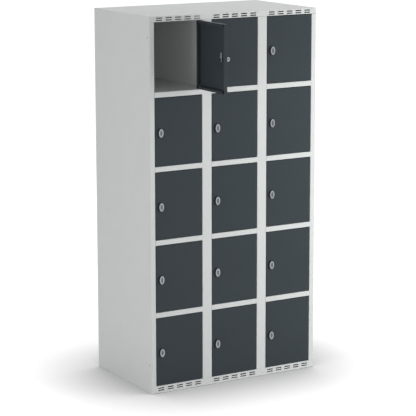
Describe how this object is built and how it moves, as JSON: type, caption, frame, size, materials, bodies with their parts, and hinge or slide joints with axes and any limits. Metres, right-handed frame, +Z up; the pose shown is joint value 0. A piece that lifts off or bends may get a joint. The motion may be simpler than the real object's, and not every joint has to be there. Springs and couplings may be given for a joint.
{
  "type": "compartment locker",
  "caption": "Free-standing steel locker with three columns of small compartments, each behind its own hinged door with a cam lock; one door stands open.",
  "frame": {"origin": "middle of the footprint, on the floor: the underside of the base panel", "axes": "+Z up, the doors face -Y, +X is to the right seen from the front"},
  "size_m": [0.9, 0.777, 1.76],
  "materials": {
    "frame_paint": "light grey powder coat, satin",
    "door_paint": "dark grey powder coat, satin",
    "lock_metal": "satin nickel plate",
    "cam_metal": "zinc plate",
    "key_metal": "nickel plate"
  },
  "bodies": {
    "carcass": {"left_side": "frame_paint", "right_side": "frame_paint", "partition_1": "frame_paint", "partition_2": "frame_paint", "top_panel": "frame_paint", "base_panel": "frame_paint", "back_panel": "frame_paint"},
    "door_assembly_c1_r1": {"door_c1_r1": "door_paint", "lock_c1_r1": "lock_metal"},
    "cam_assembly_c1_r1": {"cam_c1_r1": "cam_metal", "key_c1_r1": "key_metal"},
    "door_assembly_c1_r2": {"door_c1_r2": "door_paint", "lock_c1_r2": "lock_metal"},
    "cam_assembly_c1_r2": {"cam_c1_r2": "cam_metal"},
    "door_assembly_c1_r3": {"door_c1_r3": "door_paint", "lock_c1_r3": "lock_metal"},
    "cam_assembly_c1_r3": {"cam_c1_r3": "cam_metal"},
    "door_assembly_c1_r4": {"door_c1_r4": "door_paint", "lock_c1_r4": "lock_metal"},
    "cam_assembly_c1_r4": {"cam_c1_r4": "cam_metal"},
    "door_assembly_c1_r5": {"door_c1_r5": "door_paint", "lock_c1_r5": "lock_metal"},
    "cam_assembly_c1_r5": {"cam_c1_r5": "cam_metal"},
    "door_assembly_c2_r1": {"door_c2_r1": "door_paint", "lock_c2_r1": "lock_metal"},
    "cam_assembly_c2_r1": {"cam_c2_r1": "cam_metal"},
    "door_assembly_c2_r2": {"door_c2_r2": "door_paint", "lock_c2_r2": "lock_metal"},
    "cam_assembly_c2_r2": {"cam_c2_r2": "cam_metal"},
    "door_assembly_c2_r3": {"door_c2_r3": "door_paint", "lock_c2_r3": "lock_metal"},
    "cam_assembly_c2_r3": {"cam_c2_r3": "cam_metal"},
    "door_assembly_c2_r4": {"door_c2_r4": "door_paint", "lock_c2_r4": "lock_metal"},
    "cam_assembly_c2_r4": {"cam_c2_r4": "cam_metal"},
    "door_assembly_c2_r5": {"door_c2_r5": "door_paint", "lock_c2_r5": "lock_metal"},
    "cam_assembly_c2_r5": {"cam_c2_r5": "cam_metal"},
    "door_assembly_c3_r1": {"door_c3_r1": "door_paint", "lock_c3_r1": "lock_metal"},
    "cam_assembly_c3_r1": {"cam_c3_r1": "cam_metal"},
    "door_assembly_c3_r2": {"door_c3_r2": "door_paint", "lock_c3_r2": "lock_metal"},
    "cam_assembly_c3_r2": {"cam_c3_r2": "cam_metal"},
    "door_assembly_c3_r3": {"door_c3_r3": "door_paint", "lock_c3_r3": "lock_metal"},
    "cam_assembly_c3_r3": {"cam_c3_r3": "cam_metal"},
    "door_assembly_c3_r4": {"door_c3_r4": "door_paint", "lock_c3_r4": "lock_metal"},
    "cam_assembly_c3_r4": {"cam_c3_r4": "cam_metal"},
    "door_assembly_c3_r5": {"door_c3_r5": "door_paint", "lock_c3_r5": "lock_metal"},
    "cam_assembly_c3_r5": {"cam_c3_r5": "cam_metal"}
  },
  "joints": [
    {"name": "door_c1_r1_hinge", "type": "hinge", "parent": "carcass", "child": "door_assembly_c1_r1", "pos_m": [-0.185, -0.2665, 1.57425], "axis": [0, 0, 1], "range_deg": [-90, 20]},
    {"name": "cam_c1_r1_turn", "type": "hinge", "parent": "door_assembly_c1_r1", "child": "cam_assembly_c1_r1", "pos_m": [-0.179, -0.4775, 1.57075], "axis": [1, 0, 0], "range_deg": [0, 90]},
    {"name": "door_c1_r2_hinge", "type": "hinge", "parent": "carcass", "child": "door_assembly_c1_r2", "pos_m": [-0.185, -0.2665, 1.23125], "axis": [0, 0, 1], "range_deg": [0, 110]},
    {"name": "cam_c1_r2_turn", "type": "hinge", "parent": "door_assembly_c1_r2", "child": "cam_assembly_c1_r2", "pos_m": [-0.396, -0.2725, 1.22775], "axis": [0, -1, 0], "range_deg": [0, 90]},
    {"name": "door_c1_r3_hinge", "type": "hinge", "parent": "carcass", "child": "door_assembly_c1_r3", "pos_m": [-0.185, -0.2665, 0.88825], "axis": [0, 0, 1], "range_deg": [0, 110]},
    {"name": "cam_c1_r3_turn", "type": "hinge", "parent": "door_assembly_c1_r3", "child": "cam_assembly_c1_r3", "pos_m": [-0.396, -0.2725, 0.88475], "axis": [0, -1, 0], "range_deg": [0, 90]},
    {"name": "door_c1_r4_hinge", "type": "hinge", "parent": "carcass", "child": "door_assembly_c1_r4", "pos_m": [-0.185, -0.2665, 0.54525], "axis": [0, 0, 1], "range_deg": [0, 110]},
    {"name": "cam_c1_r4_turn", "type": "hinge", "parent": "door_assembly_c1_r4", "child": "cam_assembly_c1_r4", "pos_m": [-0.396, -0.2725, 0.54175], "axis": [0, -1, 0], "range_deg": [0, 90]},
    {"name": "door_c1_r5_hinge", "type": "hinge", "parent": "carcass", "child": "door_assembly_c1_r5", "pos_m": [-0.185, -0.2665, 0.198], "axis": [0, 0, 1], "range_deg": [0, 110]},
    {"name": "cam_c1_r5_turn", "type": "hinge", "parent": "door_assembly_c1_r5", "child": "cam_assembly_c1_r5", "pos_m": [-0.396, -0.2725, 0.1945], "axis": [0, -1, 0], "range_deg": [0, 90]},
    {"name": "door_c2_r1_hinge", "type": "hinge", "parent": "carcass", "child": "door_assembly_c2_r1", "pos_m": [0.115, -0.2665, 1.57425], "axis": [0, 0, 1], "range_deg": [0, 110]},
    {"name": "cam_c2_r1_turn", "type": "hinge", "parent": "door_assembly_c2_r1", "child": "cam_assembly_c2_r1", "pos_m": [-0.096, -0.2725, 1.57075], "axis": [0, -1, 0], "range_deg": [0, 90]},
    {"name": "door_c2_r2_hinge", "type": "hinge", "parent": "carcass", "child": "door_assembly_c2_r2", "pos_m": [0.115, -0.2665, 1.23125], "axis": [0, 0, 1], "range_deg": [0, 110]},
    {"name": "cam_c2_r2_turn", "type": "hinge", "parent": "door_assembly_c2_r2", "child": "cam_assembly_c2_r2", "pos_m": [-0.096, -0.2725, 1.22775], "axis": [0, -1, 0], "range_deg": [0, 90]},
    {"name": "door_c2_r3_hinge", "type": "hinge", "parent": "carcass", "child": "door_assembly_c2_r3", "pos_m": [0.115, -0.2665, 0.88825], "axis": [0, 0, 1], "range_deg": [0, 110]},
    {"name": "cam_c2_r3_turn", "type": "hinge", "parent": "door_assembly_c2_r3", "child": "cam_assembly_c2_r3", "pos_m": [-0.096, -0.2725, 0.88475], "axis": [0, -1, 0], "range_deg": [0, 90]},
    {"name": "door_c2_r4_hinge", "type": "hinge", "parent": "carcass", "child": "door_assembly_c2_r4", "pos_m": [0.115, -0.2665, 0.54525], "axis": [0, 0, 1], "range_deg": [0, 110]},
    {"name": "cam_c2_r4_turn", "type": "hinge", "parent": "door_assembly_c2_r4", "child": "cam_assembly_c2_r4", "pos_m": [-0.096, -0.2725, 0.54175], "axis": [0, -1, 0], "range_deg": [0, 90]},
    {"name": "door_c2_r5_hinge", "type": "hinge", "parent": "carcass", "child": "door_assembly_c2_r5", "pos_m": [0.115, -0.2665, 0.198], "axis": [0, 0, 1], "range_deg": [0, 110]},
    {"name": "cam_c2_r5_turn", "type": "hinge", "parent": "door_assembly_c2_r5", "child": "cam_assembly_c2_r5", "pos_m": [-0.096, -0.2725, 0.1945], "axis": [0, -1, 0], "range_deg": [0, 90]},
    {"name": "door_c3_r1_hinge", "type": "hinge", "parent": "carcass", "child": "door_assembly_c3_r1", "pos_m": [0.415, -0.2665, 1.57425], "axis": [0, 0, 1], "range_deg": [0, 110]},
    {"name": "cam_c3_r1_turn", "type": "hinge", "parent": "door_assembly_c3_r1", "child": "cam_assembly_c3_r1", "pos_m": [0.204, -0.2725, 1.57075], "axis": [0, -1, 0], "range_deg": [0, 90]},
    {"name": "door_c3_r2_hinge", "type": "hinge", "parent": "carcass", "child": "door_assembly_c3_r2", "pos_m": [0.415, -0.2665, 1.23125], "axis": [0, 0, 1], "range_deg": [0, 110]},
    {"name": "cam_c3_r2_turn", "type": "hinge", "parent": "door_assembly_c3_r2", "child": "cam_assembly_c3_r2", "pos_m": [0.204, -0.2725, 1.22775], "axis": [0, -1, 0], "range_deg": [0, 90]},
    {"name": "door_c3_r3_hinge", "type": "hinge", "parent": "carcass", "child": "door_assembly_c3_r3", "pos_m": [0.415, -0.2665, 0.88825], "axis": [0, 0, 1], "range_deg": [0, 110]},
    {"name": "cam_c3_r3_turn", "type": "hinge", "parent": "door_assembly_c3_r3", "child": "cam_assembly_c3_r3", "pos_m": [0.204, -0.2725, 0.88475], "axis": [0, -1, 0], "range_deg": [0, 90]},
    {"name": "door_c3_r4_hinge", "type": "hinge", "parent": "carcass", "child": "door_assembly_c3_r4", "pos_m": [0.415, -0.2665, 0.54525], "axis": [0, 0, 1], "range_deg": [0, 110]},
    {"name": "cam_c3_r4_turn", "type": "hinge", "parent": "door_assembly_c3_r4", "child": "cam_assembly_c3_r4", "pos_m": [0.204, -0.2725, 0.54175], "axis": [0, -1, 0], "range_deg": [0, 90]},
    {"name": "door_c3_r5_hinge", "type": "hinge", "parent": "carcass", "child": "door_assembly_c3_r5", "pos_m": [0.415, -0.2665, 0.198], "axis": [0, 0, 1], "range_deg": [0, 110]},
    {"name": "cam_c3_r5_turn", "type": "hinge", "parent": "door_assembly_c3_r5", "child": "cam_assembly_c3_r5", "pos_m": [0.204, -0.2725, 0.1945], "axis": [0, -1, 0], "range_deg": [0, 90]}
  ]
}
